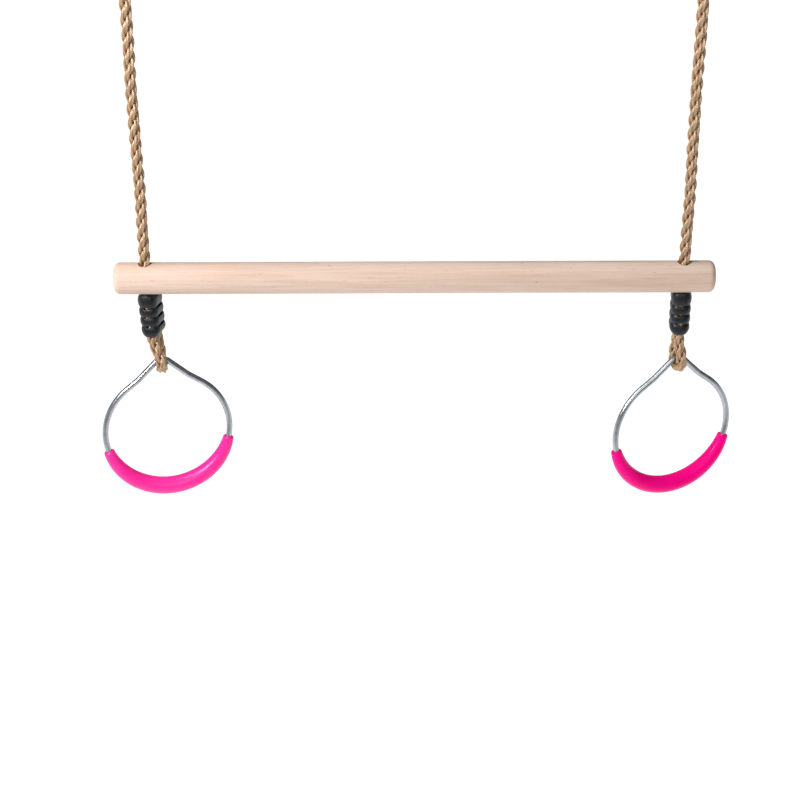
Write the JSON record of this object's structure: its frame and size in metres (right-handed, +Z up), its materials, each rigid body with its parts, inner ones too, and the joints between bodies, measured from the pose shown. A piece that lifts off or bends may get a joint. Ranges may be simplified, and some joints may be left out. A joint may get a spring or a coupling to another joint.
{
  "type": "trapeze bar with ring handles",
  "caption": "Hanging trapeze: a wooden bar on twisted ropes, with a gripped steel ring handle looped below each end, hung from steel rings.",
  "frame": {"origin": "midway between the two hanging points, which are the inner tops of the two hanging rings", "axes": "+X along the wooden bar, to the right as the user faces it; +Y away from the viewer; +Z up"},
  "size_m": [0.6579, 0.0544, 0.6653],
  "materials": {
    "wood": "sanded, untreated beech",
    "rope": "twisted hemp-coloured fibre with a soft shine",
    "binder": "satin black moulded plastic",
    "zinc": "bright zinc plated wire",
    "grip": "smooth pink moulded plastic"
  },
  "bodies": {
    "hangers": {"hanging_ring_left": "zinc", "hanging_ring_right": "zinc"},
    "ropes": {"rope_left": "rope", "rope_right": "rope", "upper_binder_left": "binder", "upper_binder_right": "binder"},
    "bar": {"trapeze_bar": "wood"},
    "clamp_left": {"lower_binder_left": "binder", "bound_rope_left": "rope"},
    "clamp_right": {"lower_binder_right": "binder", "bound_rope_right": "rope"},
    "loop_left": {"ring_loop_left": "rope"},
    "loop_right": {"ring_loop_right": "rope"},
    "handle_left": {"ring_wire_left": "zinc", "ring_grip_left": "grip"},
    "handle_right": {"ring_wire_right": "zinc", "ring_grip_right": "grip"}
  },
  "joints": [
    {"name": "trapeze_swing", "type": "hinge", "parent": "hangers", "child": "ropes", "pos_m": [0, 0, -0.0485], "axis": [1, 0, 0], "range_deg": [-60, 60]},
    {"name": "bar_lift", "type": "slide", "parent": "ropes", "child": "bar", "axis": [0, 0, 1], "range_m": [0, 0.26]},
    {"name": "rope_twist_left", "type": "hinge", "parent": "ropes", "child": "clamp_left", "pos_m": [-0.269, -0.0065, -0.4271], "axis": [0, 0, 1], "range_deg": [-90, 90]},
    {"name": "rope_twist_right", "type": "hinge", "parent": "ropes", "child": "clamp_right", "pos_m": [0.269, -0.0065, -0.4264], "axis": [0, 0, 1], "range_deg": [-90, 90]},
    {"name": "loop_lean_left", "type": "hinge", "parent": "clamp_left", "child": "loop_left", "pos_m": [-0.26632, -0.0065, -0.47833], "axis": [0.2416, 0.9703, 0.0127], "range_deg": [-6, 24]},
    {"name": "loop_lean_right", "type": "hinge", "parent": "clamp_right", "child": "loop_right", "pos_m": [0.269, -0.0065, -0.4777], "axis": [0.0846, 0.9964, 0], "range_deg": [-14, 14]},
    {"name": "ring_swing_left", "type": "hinge", "parent": "loop_left", "child": "handle_left", "pos_m": [-0.2596, 0, -0.502], "axis": [0.9701, 0.2419, 0.0175], "range_deg": [-80, 80]},
    {"name": "ring_swing_right", "type": "hinge", "parent": "loop_right", "child": "handle_right", "pos_m": [0.271, 0, -0.502], "axis": [0.9395, 0.342, -0.0175], "range_deg": [-80, 80]}
  ]
}
